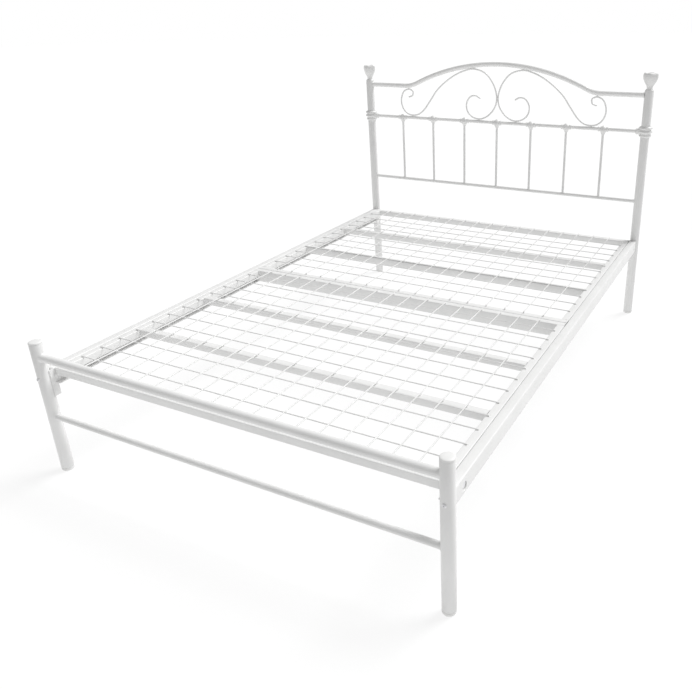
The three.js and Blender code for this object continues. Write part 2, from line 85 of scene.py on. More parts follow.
FOOT_TOP_R, FOOT_TOP_Z = 12.7, 405.0
FOOT_LOWER_R, FOOT_LOWER_Z = 9.5, 199.0


# ---- Mesh helpers --------------------------------------------------------------------------

class Shell:
    """Vertices (in millimetres) and faces gathered for one piece."""

    def __init__(self):
        self.verts = []
        self.faces = []

    def add(self, verts, faces):
        start = len(self.verts)
        self.verts.extend(tuple(v) for v in verts)
        self.faces.extend(tuple(start + i for i in face) for face in faces)
        return self

    def rings(self, rings, closed_path=False):
        """A skin over rings of the same number of points."""
        count = len(rings[0])
        verts = [v for ring in rings for v in ring]
        faces = []
        total = len(rings)
        for i in range(total if closed_path else total - 1):
            j = (i + 1) % total
            for k in range(count):
                m = (k + 1) % count
                faces.append((i * count + k, i * count + m, j * count + m, j * count + k))
        if not closed_path:
            faces.append(tuple(reversed(range(count))))
            faces.append(tuple((total - 1) * count + k for k in range(count)))
        return self.add(verts, faces)


# Where a point turned about Z goes when the axis is another one.
TURNS = {
    "z": lambda x, y, z: (x, y, z),
    "x": lambda x, y, z: (z, x, y),
    "-x": lambda x, y, z: (-z, -x, y),
    "y": lambda x, y, z: (y, z, x),
}


def lathe(shell, profile, segments=48, at=(0, 0, 0), axis="z", warp=None):
    """Turns (radius, height) pairs about an axis. A radius of 0 makes a point."""
    verts, rows = [], []
    for radius, height in profile:
        if radius < 1e-6:
            rows.append([len(verts)])
            verts.append((0.0, 0.0, height))
            continue
        row = []
        for k in range(segments):
            angle = 2 * math.pi * k / segments
            row.append(len(verts))
            verts.append((radius * math.cos(angle), radius * math.sin(angle), height))
        rows.append(row)
    if warp:
        verts = [warp(*v) for v in verts]
    faces = []
    for low, high in zip(rows, rows[1:]):
        for k in range(segments):
            m = (k + 1) % segments
            if len(low) == 1 and len(high) == 1:
                continue
            if len(low) == 1:
                faces.append((low[0], high[m], high[k]))
            elif len(high) == 1:
                faces.append((low[k], low[m], high[0]))
            else:
                faces.append((low[k], low[m], high[m], high[k]))
    turn = TURNS[axis]
    placed = []
    for v in verts:
        x, y, z = turn(*v)
        placed.append((x + at[0], y + at[1], z + at[2]))
    shell.add(placed, faces)


def catmull(points, spacing):
    """Centripetal curve through points, sampled about every `spacing` millimetres."""
    pts = [Vector(p) for p in points]
    pts = [pts[0] * 2 - pts[1]] + pts + [pts[-1] * 2 - pts[-2]]
    out = []
    for i in range(1, len(pts) - 2):
        p0, p1, p2, p3 = pts[i - 1:i + 3]
        t0 = 0.0
        t1 = t0 + (p1 - p0).length ** 0.5
        t2 = t1 + (p2 - p1).length ** 0.5
        t3 = t2 + (p3 - p2).length ** 0.5
        steps = max(2, int((p2 - p1).length / spacing))
        for s in range(steps):
            t = t1 + (t2 - t1) * s / steps
            a1 = p0 * ((t1 - t) / (t1 - t0)) + p1 * ((t - t0) / (t1 - t0))
            a2 = p1 * ((t2 - t) / (t2 - t1)) + p2 * ((t - t1) / (t2 - t1))
            a3 = p2 * ((t3 - t) / (t3 - t2)) + p3 * ((t - t2) / (t3 - t2))
            b1 = a1 * ((t2 - t) / (t2 - t0)) + a2 * ((t - t0) / (t2 - t0))
            b2 = a2 * ((t3 - t) / (t3 - t1)) + a3 * ((t - t1) / (t3 - t1))
            out.append(b1 * ((t2 - t) / (t2 - t1)) + b2 * ((t - t1) / (t2 - t1)))
    out.append(pts[-2].copy())
    return out


def sweep(shell, path, radius, sides=16, up=Vector((0, 1, 0)), round_ends=False, radii=None):
    """A round bar along a path. `up` is a direction the path never runs along."""
    rings = []
    last = len(path) - 1
    ends = []
    if round_ends:
        ends = [(-math.cos(a), math.sin(a)) for a in (0.35, 0.8, 1.2)]
    def ring(centre, tangent, r):
        side = tangent.cross(up).normalized()
        top = side.cross(tangent).normalized()
        turns = [2 * math.pi * k / sides for k in range(sides)]
        return [centre + (side * math.cos(a) + top * math.sin(a)) * r for a in turns]
    for i, point in enumerate(path):
        tangent = (path[min(i + 1, last)] - path[max(i - 1, 0)]).normalized()
        r = radii[i] if radii else radius
        if i == 0:
            rings += [ring(point + tangent * r * back, tangent, r * grow) for back, grow in ends]
        rings.append(ring(point, tangent, r))
        if i == last:
            rings += [ring(point - tangent * r * back, tangent, r * grow) for back, grow in reversed(ends)]
    shell.rings(rings)


def coped_rod(shell, radius, z, y=0.0, wide=POST_X, post=POST_R, segments=32, fillet=2.4):
    """A rail along X between two posts, ending on the posts' round walls in a weld fillet."""
    rings = []
    stations = [(-1, 0.0, fillet), (-1, 0.7, fillet * 0.55), (-1, 1.8, fillet * 0.2), (-1, 4.0, 0.0),
                (1, 4.0, 0.0), (1, 1.8, fillet * 0.2), (1, 0.7, fillet * 0.55), (1, 0.0, fillet)]
    for side, off, grow in stations:
        ring = []
        for k in range(segments):
            a = 2 * math.pi * k / segments
            dy, dz = (radius + grow) * math.cos(a), (radius + grow) * math.sin(a)
            reach = wide - math.sqrt(max(post * post - dy * dy, 0)) - off
            ring.append((side * reach, y + dy, z + dz))
        rings.append(ring)
    shell.rings(rings)


def rect_outline(half_w, half_h, corner, steps=4):
    """Corner-rounded rectangle about the origin, anticlockwise."""
    points = []
    for cx, cy, start in ((1, 1, 0), (-1, 1, 90), (-1, -1, 180), (1, -1, 270)):
        for s in range(steps + 1):
            a = math.radians(start + 90 * s / steps)
            points.append((cx * (half_w - corner) + corner * math.cos(a),
                           cy * (half_h - corner) + corner * math.sin(a)))
    return points


def rect_tube(shell, x, y, z, width, height, length, along, wall=1.2, corner=2.2):
    """An open rectangular tube centred on (x, y, z), running along 'x' or 'y'."""
    outer = rect_outline(width / 2, height / 2, corner)
    inner = rect_outline(width / 2 - wall, height / 2 - wall, max(corner - wall, 0.4))
    half = length / 2
    soft = 0.35
    stations = [(inner, -half), (outer, -half), (outer, half), (inner, half)]
    rings = []
    for outline, s in stations:
        if outline is outer:
            shrink = rect_outline(width / 2 - soft, height / 2 - soft, corner - soft)
            order = [(shrink, s), (outer, s + soft)] if s < 0 else [(outer, s - soft), (shrink, s)]
        else:
            order = [(outline, s)]
        for pts, pos in order:
            if along == "x":
                rings.append([(x + pos, y + a, z + b) for a, b in pts])
            else:
                rings.append([(x + a, y + pos, z + b) for a, b in pts])
    shell.rings(rings, closed_path=True)


def block(shell, x0, x1, y0, y1, z0, z1, bevel=0.6):
    """A plate with rounded edges."""
    bm = bmesh.new()
    bmesh.ops.create_cube(bm, size=1.0)
    for v in bm.verts:
        v.co = Vector(((x0 + x1) / 2 + v.co.x * (x1 - x0), (y0 + y1) / 2 + v.co.y * (y1 - y0),
                       (z0 + z1) / 2 + v.co.z * (z1 - z0)))
    bmesh.ops.bevel(bm, geom=list(bm.edges), offset=bevel, segments=2, profile=0.5, affect="EDGES")
    bm.verts.ensure_lookup_table()
    for i, v in enumerate(bm.verts):
        v.index = i
    shell.add([v.co for v in bm.verts], [[v.index for v in f.verts] for f in bm.faces])
    bm.free()


def blob(shell, centre, size, sides=10, rows=5):
    """A small weld bead: a squashed ball."""
    rings = []
    for i in range(1, rows):
        a = math.pi * i / rows
        rings.append([(centre[0] + size[0] * math.sin(a) * math.cos(2 * math.pi * k / sides),
                       centre[1] + size[1] * math.sin(a) * math.sin(2 * math.pi * k / sides),
                       centre[2] - size[2] * math.cos(a)) for k in range(sides)])
    shell.rings(rings)


def make_object(name, shell, materials, sharp=40):
    mesh = bpy.data.meshes.new(name)
    mesh.from_pydata([(x * MM, y * MM, z * MM) for x, y, z in shell.verts], [], shell.faces)
    mesh.validate()
    bm = bmesh.new()
    bm.from_mesh(mesh)
    bmesh.ops.recalc_face_normals(bm, faces=bm.faces)
    bm.to_mesh(mesh)
    bm.free()
    for material in materials:
        mesh.materials.append(material)
    mesh.shade_smooth()
    mesh.set_sharp_from_angle(angle=math.radians(sharp))
    obj = bpy.data.objects.new(name, mesh)
    bpy.context.scene.collection.objects.link(obj)
    return obj


def piece(name, node, shell, material, sharp=40):
    obj = make_object(name, shell, [material], sharp)
    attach(obj, "root")
    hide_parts(node)
    return obj


# ---- Materials -----------------------------------------------------------------------------

def paint(name, base, shade, roughness, peel_scale, peel_depth, pit_depth=0.0):
    """Sprayed and baked coating: a little tone drift, orange peel, and pits where it covers a casting."""
    material = bpy.data.materials.new(name)
    material.use_nodes = True
    tree = material.node_tree
    nodes, links = tree.nodes, tree.links
    shader = nodes["Principled BSDF"]
    shader.inputs["IOR"].default_value = 1.5
    coords = nodes.new("ShaderNodeTexCoord")

    drift = nodes.new("ShaderNodeTexNoise")
    drift.inputs["Scale"].default_value = 9.0
    drift.inputs["Detail"].default_value = 4.0
    links.new(coords.outputs["Object"], drift.inputs["Vector"])
    tone = nodes.new("ShaderNodeValToRGB")
    tone.color_ramp.elements[0].position = 0.35
    tone.color_ramp.elements[0].color = (*shade, 1)
    tone.color_ramp.elements[1].position = 0.6
    tone.color_ramp.elements[1].color = (*base, 1)
    links.new(drift.outputs["Fac"], tone.inputs["Fac"])
    links.new(tone.outputs["Color"], shader.inputs["Base Color"])

    patch = nodes.new("ShaderNodeTexNoise")
    patch.inputs["Scale"].default_value = 45.0
    patch.inputs["Detail"].default_value = 5.0
    links.new(coords.outputs["Object"], patch.inputs["Vector"])
    gloss = nodes.new("ShaderNodeMapRange")
    gloss.inputs["From Min"].default_value = 0.3
    gloss.inputs["From Max"].default_value = 0.7
    gloss.inputs["To Min"].default_value = roughness - 0.05
    gloss.inputs["To Max"].default_value = roughness + 0.07
    links.new(patch.outputs["Fac"], gloss.inputs["Value"])
    links.new(gloss.outputs["Result"], shader.inputs["Roughness"])

    peel = nodes.new("ShaderNodeTexNoise")
    peel.inputs["Scale"].default_value = peel_scale
    peel.inputs["Detail"].default_value = 2.0
    links.new(coords.outputs["Object"], peel.inputs["Vector"])
    bump = nodes.new("ShaderNodeBump")
    bump.inputs["Strength"].default_value = 0.35
    bump.inputs["Distance"].default_value = peel_depth
    links.new(peel.outputs["Fac"], bump.inputs["Height"])
    last = bump
    if pit_depth:
        pits = nodes.new("ShaderNodeTexVoronoi")
        pits.inputs["Scale"].default_value = peel_scale * 0.55
        links.new(coords.outputs["Object"], pits.inputs["Vector"])
        casting = nodes.new("ShaderNodeBump")
        casting.inputs["Strength"].default_value = 0.5
        casting.inputs["Distance"].default_value = pit_depth
        links.new(pits.outputs["Distance"], casting.inputs["Height"])
        links.new(bump.outputs["Normal"], casting.inputs["Normal"])
        last = casting
    links.new(last.outputs["Normal"], shader.inputs["Normal"])
    return material


def zinc_plate(name):
    """Bright zinc on a bolt: brushed rings of tone and a faint blue-grey cast."""
    material = bpy.data.materials.new(name)
    material.use_nodes = True
    tree = material.node_tree
    nodes, links = tree.nodes, tree.links
    shader = nodes["Principled BSDF"]
    shader.inputs["Metallic"].default_value = 0.2
    coords = nodes.new("ShaderNodeTexCoord")
    grain = nodes.new("ShaderNodeTexNoise")
    grain.inputs["Scale"].default_value = 350.0
    grain.inputs["Detail"].default_value = 6.0
    links.new(coords.outputs["Object"], grain.inputs["Vector"])
    tone = nodes.new("ShaderNodeValToRGB")
    tone.color_ramp.elements[0].position = 0.3
    tone.color_ramp.elements[0].color = (0.78, 0.78, 0.79, 1)
    tone.color_ramp.elements[1].position = 0.7
    tone.color_ramp.elements[1].color = (0.88, 0.88, 0.90, 1)
    links.new(grain.outputs["Fac"], tone.inputs["Fac"])
    links.new(tone.outputs["Color"], shader.inputs["Base Color"])
    spread = nodes.new("ShaderNodeMapRange")
    spread.inputs["To Min"].default_value = 0.28
    spread.inputs["To Max"].default_value = 0.5
    links.new(grain.outputs["Fac"], spread.inputs["Value"])
    links.new(spread.outputs["Result"], shader.inputs["Roughness"])
    bump = nodes.new("ShaderNodeBump")
    bump.inputs["Strength"].default_value = 0.2
    bump.inputs["Distance"].default_value = 0.0002
    links.new(grain.outputs["Fac"], bump.inputs["Height"])
    links.new(bump.outputs["Normal"], shader.inputs["Normal"])
    return material


FRAME_PAINT = paint("white_powder_coat", (0.82, 0.82, 0.815), (0.79, 0.79, 0.785), 0.33, 420.0, 0.00035)
CASTING_PAINT = paint("white_powder_coat_on_casting", (0.81, 0.81, 0.805), (0.76, 0.76, 0.755), 0.38,
                      420.0, 0.0004, 0.0004)
WIRE_PAINT = paint("white_powder_coat_on_wire", (0.82, 0.82, 0.815), (0.78, 0.78, 0.775), 0.36, 600.0, 0.0003)
PLASTIC = paint("white_moulded_plastic", (0.83, 0.83, 0.825), (0.80, 0.80, 0.79), 0.42, 900.0, 0.00025)
ZINC = zinc_plate("zinc_plated_steel")


# ---- Posts and what they carry --------------------------------------------------------------

def post(name, x, y, top):
    """A round tube from just above its floor glide to `top`."""
    inner = POST_R - 1.2
    shell = Shell()
    bottom = GLIDE_H + 0.3
    lathe(shell, [(inner, bottom), (POST_R - 0.3, bottom), (POST_R, bottom + 0.4), (POST_R, top - 0.4),
                  (POST_R - 0.3, top), (inner, top), (inner, bottom)], 64, (x, y, 0))
    return piece(name, name, shell, FRAME_PAINT)


def floor_glide(name, x, y):
    """A rounded plastic foot, with a ribbed plug that fits inside the post."""
    shell = Shell()
    plug = POST_R - 1.5
    lathe(shell, [(0, 0), (POST_R - 6, 0), (POST_R - 3.5, 0.5), (POST_R - 1.6, 1.8), (POST_R - 0.5, 3.8),
                  (POST_R, 6.2), (POST_R, GLIDE_H - 0.5), (POST_R - 0.4, GLIDE_H), (plug, GLIDE_H),
                  (plug, 29.5), (plug - 0.5, 30), (0, 30)], 64, (x, y, 0))
    for step in range(8):
        a = 2 * math.pi * step / 8
        blob(shell, (x + plug * math.cos(a), y + plug * math.sin(a), 20), (0.25, 0.25, 7))
    return piece(name, name, shell, PLASTIC, sharp=35)


def post_cap(name, x, y):
    """A low domed cap, with a plug that fits inside the post."""
    shell = Shell()
    plug = POST_R - 1.5
    z = FOOT_POST_TOP
    lathe(shell, [(0, -20), (plug, -20), (plug, 0.3), (POST_R - 0.3, 0.3), (POST_R, 0.7), (POST_R, 3.2),
                  (POST_R - 0.5, 4.3), (POST_R - 1.6, 5.3), (POST_R - 3.4, 6.0), (POST_R - 7, 6.6),
                  (POST_R - 12, 7.0), (0, 7.2)], 64, (x, y, z))
    return piece(name, name, shell, PLASTIC, sharp=35)


# (radius, height above the post): shoulder, neck with a bead, flaring cup, rim and dished top.
FINIAL = [
    (17.3, -17.9), (17.3, 0.2), (18.9, 0.3), (19.0, 1.0), (18.6, 3.0), (16.8, 5.6), (14.4, 8.0),
    (12.4, 9.9), (11.6, 11.3), (11.8, 12.6), (12.6, 14.0), (12.8, 15.4), (12.4, 16.8), (12.6, 18.2),
    (14.2, 21.4), (16.2, 25.0), (18.6, 29.0), (21.0, 33.6), (23.2, 38.4), (25.2, 43.4), (26.8, 48.6),
    (28.0, 54.0), (28.6, 59.5), (28.4, 64.5), (27.4, 68.8), (25.8, 72.0), (23.8, 73.8), (21.6, 74.0),
    (19.2, 73.5), (15.6, 72.6), (11.0, 71.8), (6.0, 71.3), (0, 71.1),
]


def finial(name, x, y):
    """A flared cup of four broad petals on a beaded neck."""
    def petals(px, py, pz):
        rise = min(max((pz - 22) / 26, 0), 1)
        rise = rise * rise * (3 - 2 * rise)
        angle = math.atan2(py, px)
        lobe = math.cos(4 * angle)
        spread = 1 + 0.068 * rise * lobe
        crease = rise * 1.3 * (abs(math.cos(2 * angle)) ** 10 + abs(math.sin(2 * angle)) ** 10 - 0.5)
        outer = math.hypot(px, py)
        rim = min(max((pz - 56) / 13, 0), 1) * min(max((outer - 10) / 9, 0), 1)
        scale = spread + (crease / outer * 0.6 if outer > 9 else 0)
        return px * scale, py * scale, pz + 1.4 * rim * lobe
    shell = Shell()
    lathe(shell, [(0, -17.9)] + FINIAL, 96, (x, y, HEAD_POST_TOP), warp=petals)
    return piece(name, name, shell, CASTING_PAINT, sharp=60)


def post_collar(name, x, y, side):
    """Three cast ridges round the post and a stepped socket for the middle rail."""
    shell = Shell()
    bore = POST_R + 0.2
    ridges = [(bore, -22), (21.6, -22), (22.9, -21.4), (24.6, -19.6), (26.0, -17.2), (25.6, -14.6),
              (23.6, -12.2), (22.3, -10.2), (22.4, -8), (23.2, -5.6), (25.6, -3.8), (28.6, -2.4),
              (29.8, -0.4), (29.6, 1.8),
              (28, 3.4), (25.2, 5), (23.2, 7), (22.9, 9), (24.6, 10.8), (27.6, 12.2), (29.1, 14.2),
              (29.1, 16.6), (27.6, 18.9), (25.2, 20.7), (23.2, 21.8), (bore, 22), (bore, -22)]
    lathe(shell, ridges, 80, (x, y, MIDDLE_Z))
    inward = "-x" if side > 0 else "x"
    socket = [(ROD_R + 0.2, 18), (17.6, 18), (18, 19), (17.4, 21.6), (16, 24.6), (14.6, 27.2), (13.4, 29.4),
              (12.6, 31.4), (12.3, 33), (13, 34.6), (13.2, 36.4), (12.7, 38.6), (11.6, 40.2), (10, 40.8),
              (ROD_R + 0.2, 40.8), (ROD_R + 0.2, 18)]
    lathe(shell, socket, 48, (x, y, MIDDLE_Z), axis=inward)
    return piece(name, name, shell, CASTING_PAINT, sharp=50)


# ---- Headboard -----------------------------------------------------------------------------

def top_rail():
    """Level ends, a soft bend and a circular arch, mirrored about the middle of the bed."""
    centre_z = ARCH_TOP_Z - ARCH_R
    drop = math.sqrt(ARCH_R ** 2 - ARCH_END_X ** 2)
    arc_end_z = centre_z + drop
    corner_x = ARCH_END_X + (arc_end_z - TOP_RAIL_Z) * drop / ARCH_END_X
    bend_end = corner_x + math.hypot(corner_x - ARCH_END_X, arc_end_z - TOP_RAIL_Z)
    half = []
    post_wall = POST_X - POST_R
    # Closely spaced next to the post, where the rail swells into its weld.
    for x in (post_wall + 1, post_wall - 0.4, post_wall - 1.4, post_wall - 3, post_wall - 6, 600, 540):
        half.append((x, TOP_RAIL_Z))
    for s in range(13):
        t = s / 12
        half.append(((1 - t) ** 2 * bend_end + 2 * t * (1 - t) * corner_x + t * t * ARCH_END_X,
                     (1 - t) ** 2 * TOP_RAIL_Z + 2 * t * (1 - t) * TOP_RAIL_Z + t * t * arc_end_z))
    half_angle = math.asin(ARCH_END_X / ARCH_R)
    for s in range(1, 28):
        a = half_angle * (1 - s / 28)
        half.append((ARCH_R * math.sin(a), centre_z + ARCH_R * math.cos(a)))
    right = [Vector((x, HEAD_Y, z)) for x, z in half]
    left = [Vector((-v.x, v.y, v.z)) for v in right]
    path = left + [Vector((0, HEAD_Y, ARCH_TOP_Z))] + right[::-1]
    grow = [2.2, 1.3, 0.6, 0.15, 0.0]
    radii = [TOP_RAIL_R] * len(path)
    for i, extra in enumerate(grow):
        radii[i] += extra
        radii[-1 - i] += extra
    shell = Shell()
    sweep(shell, path, TOP_RAIL_R, 32, radii=radii)
    return piece("head_top_rail", "head_top_rail", shell, FRAME_PAINT)


def straight_rail(name, radius, z, y):
    """A level round rail from post to post."""
    shell = Shell()
    coped_rod(shell, radius, z, y)
    return piece(name, name, shell, FRAME_PAINT)


def spindle(index, x):
    """A plain rod, welded to the lower rail and socketed in its knuckle."""
    shell = Shell()
    low, high = LOWER_Z + ROD_R * 0.75, MIDDLE_Z - ROD_R * 0.75
    lathe(shell, [(SPINDLE_R + 2.2, low), (SPINDLE_R + 1.5, low + 1.8), (SPINDLE_R + 0.5, low + 2.8),
                  (SPINDLE_R, low + 4.2), (SPINDLE_R, high)], 28, (x, HEAD_Y, 0))
    shell.faces.append(tuple(range(len(shell.verts) - 28, len(shell.verts))))
    shell.faces.append(tuple(reversed(range(0, 28))))
    name = f"spindle_{index}"
    return piece(name, name, shell, FRAME_PAINT)


def knuckle(index, x):
    """A cast joint: a squat bulb, a beaded sleeve along the rail and a tapered spindle socket."""
    shell = Shell()
    at = (x, HEAD_Y, MIDDLE_Z)
    bulb = [(0, -21.9), (6.8, -21.9), (7.7, -21.4), (8.2, -20), (8.4, -18.2), (9.6, -15.8), (11.9, -12.9),
            (14.2, -9.6), (16.0, -6.2), (16.8, -3), (16.6, 0.4), (15.7, 3.8), (14.1, 6.8), (11.8, 9.6),
            (9.0, 12.2), (6.0, 14.4), (3.0, 15.9), (0, 16.4)]
    lathe(shell, bulb, 48, at)
    sleeve = [(0, -23), (8.6, -23), (9.8, -22.4), (10.7, -20.9), (10.9, -19.2), (10.4, -17.5), (9.8, -16),
              (9.7, -14), (9.8, -11), (10, -8), (10, 8), (9.8, 11), (9.7, 14), (9.8, 16), (10.4, 17.5),
              (10.9, 19.2), (10.7, 20.9), (9.8, 22.4), (8.6, 23), (0, 23)]
    lathe(shell, sleeve, 40, at, axis="x")
    name = f"spindle_knuckle_{index}"
    return piece(name, name, shell, CASTING_PAINT, sharp=50)


# The right scroll's centre line as (x, z): outer curl, sweep up to the arch, inner curl.
SCROLL = [
    (462, 942), (443, 950), (441, 969), (463, 978.5), (491, 966), (506, 925), (497, 887), (473, 863),
    (444, 856.3), (412, 862), (383, 883), (346, 930), (312, 976), (265, 1018), (215, 1050.5),
    (168, 1070.5), (122, 1079.8), (64, 1064), (24, 1020), (5, 970), (7, 926), (27, 891), (58, 865.5),
    (92, 856.3), (128, 866), (152, 892), (154, 929), (134, 957), (108, 961), (88, 951),
]


def scroll(name, side):
    """One bent rod with a curl at each end, and the weld beads that hold it."""
    shell = Shell()
    path = catmull([(side * x, HEAD_Y, z) for x, z in SCROLL], 5.0)
    sweep(shell, path, SCROLL_R, 14, round_ends=True)
    beads = [(side * 444, MIDDLE_Z + ROD_R + 0.3, 5.2), (side * 92, MIDDLE_Z + ROD_R + 0.3, 5.2),
             (side * 118, 1084.2, 5.5), (side * 463, 982.9, 4.2)]
    for x, z, long in beads:
        blob(shell, (x, HEAD_Y, z), (long, 3.4, 1.9))
    return piece(name, name, shell, FRAME_PAINT, sharp=60)


# ---- Side rails, brackets and bolts ---------------------------------------------------------

def cut(obj, cutter):
    """Takes one mesh out of another and bakes the result into the piece."""
    modifier = obj.modifiers.new("cut", "BOOLEAN")
    modifier.operation = "DIFFERENCE"
    modifier.solver = "EXACT"
    modifier.object = cutter
    graph = bpy.context.evaluated_depsgraph_get()
    done = bpy.data.meshes.new_from_object(obj.evaluated_get(graph))
    obj.modifiers.clear()
    old = obj.data
    done.name = old.name
    obj.data = done
    bpy.data.meshes.remove(old)
    bpy.data.objects.remove(cutter)
    obj.data.shade_smooth()
    obj.data.set_sharp_from_angle(angle=math.radians(35))


def side_rail(name, side):
    """A rectangular tube with a lip, two access holes with soft rims, and a pan behind the foot one."""
    shell = Shell()
    y0, y1 = FOOT_Y + RAIL_END, HEAD_Y - RAIL_END
    x = side * (RAIL_IN + RAIL_OUT) / 2
    rect_tube(shell, x, (y0 + y1) / 2, DECK_Z - RAIL_H / 2, RAIL_OUT - RAIL_IN, RAIL_H, y1 - y0, "y",
              wall=1.5, corner=3.4)
    lip_z = DECK_Z - RAIL_H
    lip_x = span(side * (RAIL_IN - LIP_WIDTH), side * (RAIL_IN + 1))
    block(shell, *lip_x, y0, y1, lip_z, lip_z + LIP_THICKNESS, 0.6)
    rail = make_object(name, shell, [FRAME_PAINT], sharp=35)
    outward = "x" if side > 0 else "-x"
    holes = ((FOOT_Y + FOOT_NUT, FOOT_BOLT_Z - FOOT_HOLE_DROP, FOOT_HOLE_R),
             (HEAD_Y - HEAD_NUT, HEAD_BOLT_Z, HEAD_HOLE_R))
    rim_x = RAIL_OUT - 8
    for y, z, radius in holes:
        drill = Shell()
        lathe(drill, [(0, 0), (radius, 0), (radius, 20), (0, 20)], 48, (side * rim_x, y, z), axis=outward)
        cut(rail, make_object("drill", drill, [], sharp=35))
    rims = Shell()
    foot_y, foot_z, foot_radius = holes[0]
    lathe(rims, [(foot_radius, 6.5), (foot_radius, 4.6), (0, 4.4)], 48,
          (side * rim_x, foot_y, foot_z), axis=outward)
    for y, z, radius in holes:
        lathe(rims, [(radius - 0.4, 6.3), (radius + 0.7, 7.9), (radius + 0.3, 8.0),
                     (radius - 0.2, 7.7), (radius - 0.5, 6.5), (radius - 0.4, 6.3)], 48,
              (side * rim_x, y, z), axis=outward)
    rim = make_object("rim", rims, [FRAME_PAINT], sharp=60)
    merge = bmesh.new()
    merge.from_mesh(rail.data)
    merge.from_mesh(rim.data)
    merge.to_mesh(rail.data)
    merge.free()
    bpy.data.objects.remove(rim)
    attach(rail, "root")
    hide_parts(name)
    return rail


CORNERS = (("foot_right", 1, FOOT_Y, 1, FOOT_NUT, FOOT_NUT_R, FOOT_BOLT_Z),
           ("foot_left", -1, FOOT_Y, 1, FOOT_NUT, FOOT_NUT_R, FOOT_BOLT_Z),
           ("head_right", 1, HEAD_Y, -1, HEAD_NUT, HEAD_NUT_R, HEAD_BOLT_Z),
           ("head_left", -1, HEAD_Y, -1, HEAD_NUT, HEAD_NUT_R, HEAD_BOLT_Z))


def span(a, b):
    return (a, b) if a < b else (b, a)


def bracket(corner):
    """A flange across the rail's end and a plate that hangs below it, with a weld along the post."""
    label, side, y, along = corner[:4]
    shell = Shell()
    bottom = DECK_Z - RAIL_H
    y_in = y + along * (POST_R + 0.2)
    y_flange = y + along * (POST_R + 3.3)
    y_plate = y + along * (POST_R + 10.3)
    flange_x = span(side * RAIL_IN, side * RAIL_OUT)
    block(shell, *flange_x, *span(y_in, y_flange), bottom - FLANGE_DROP, DECK_Z - 1, 0.5)
    weld_x = RAIL_IN + 1.6
    wall_y = y + along * math.sqrt(POST_R ** 2 - (weld_x - POST_X) ** 2)
    plate_end = side * (RAIL_IN + PLATE_T)
    # Set back a little from the flange, so that no two faces lie in one plane.
    block(shell, *span(side * (RAIL_IN + 0.2), plate_end), *span(wall_y - along * 1.2, y_plate),
          PLATE_BOTTOM_Z, bottom - 0.3, 0.5)
    block(shell, *span(side * (RAIL_IN + 0.4), plate_end), *span(wall_y - along, y_in + along),
          bottom - 2, DECK_Z - 2, 0.5)
    for i in range(12):
        bead = (side * (RAIL_IN - 0.2), wall_y + along * 0.4, 273 + i * 7.4)
        blob(shell, bead, (1.5, 1.7, 4.6))
    name = f"bracket_{label}"
    return piece(name, name, shell, FRAME_PAINT)


def bolt(corner):
    """A button-head bolt with a hexagon socket, and the barrel nut it screws into."""
    label, side, y, along, nut_depth, nut_r, z = corner
    shell = Shell()
    segments = 48
    base = -POST_R
    profile = [(5.3, 1.1), (5.5, 0.0), (5.5, -1.2), (5.2, -2.0), (4.6, -2.9), (3.8, -3.6), (3.1, -3.9)]
    rings = []
    for radius, height in profile:
        rings.append([(radius * math.cos(2 * math.pi * k / segments), base + height,
                       radius * math.sin(2 * math.pi * k / segments)) for k in range(segments)])
    for radius, height in ((2.15, -3.85), (2.1, -3.5), (2.1, -1.6)):
        ring = []
        for k in range(segments):
            a = 2 * math.pi * k / segments
            flat = math.cos(math.pi / 6) / math.cos((a % (math.pi / 3)) - math.pi / 6)
            ring.append((radius * flat / math.cos(math.pi / 6) * math.cos(a), base + height,
                         radius * flat / math.cos(math.pi / 6) * math.sin(a)))
        rings.append(ring)
    shell.rings(rings)
    lathe(shell, [(0, base + 0.5), (3, base + 0.5), (3, nut_depth + 7.2), (2.4, nut_depth + 8),
                  (0, nut_depth + 8)], 24, (0, 0, 0), axis="y")
    inner = RAIL_IN - POST_X + 1.9
    outer = RAIL_OUT - POST_X - 1.9
    nut = [(0, inner), (nut_r - 0.5, inner), (nut_r, inner + 0.5), (nut_r, outer - 0.5),
           (nut_r - 0.5, outer), (1.2, outer), (0.9, outer - 1.0), (0, outer - 1.0)]
    lathe(shell, nut, 40, (0, nut_depth, 0), axis="x")
    shell.verts = [(side * (vx + POST_X), y + along * vy, z + vz) for vx, vy, vz in shell.verts]
    name = f"bolt_{label}"
    return piece(name, name, shell, ZINC, sharp=35)


# ---- Deck ----------------------------------------------------------------------------------

# Each section: its bars' near faces and first wire, measured from the foot posts' centres, and which
# of the bars is the deep one at the joint.
SECTIONS = {
    "foot": ([27.0, 334.0, 637.0, 954.0], 112.5, 3),
    "head": ([981.0, 1284.0, 1592.0, 1936.0], 1075.0, 0),
}


def cross_bar(name, y, height, half, welded):
    """A tube across the deck. `welded` holds the faces that deck side bars meet: 0 front, BAR back."""
    shell = Shell()
    rect_tube(shell, 0, FOOT_Y + y + BAR / 2, DECK_Z - height / 2, BAR, height, 2 * half, "x", corner=2.4)
    bead_x = DECK_SIDE - BAR - 0.3
    for side in (-1, 1):
        for face in welded:
            for i in range(5):
                bead = (side * bead_x, FOOT_Y + y + face, DECK_Z - 3.5 - i * 4.4)
                blob(shell, bead, (1.8, 1.5, 2.9))
    return piece(name, name, shell, FRAME_PAINT, sharp=35)


def deck_side_bar(name, side, start, end):
    """A tube along the deck's edge, between the section's first and last bars."""
    shell = Shell()
    middle_y = FOOT_Y + (start + end) / 2
    rect_tube(shell, side * (DECK_SIDE - BAR / 2), middle_y, DECK_Z - BAR / 2, BAR, BAR, end - start, "y",
              corner=2.4)
    return piece(name, name, shell, FRAME_PAINT, sharp=35)


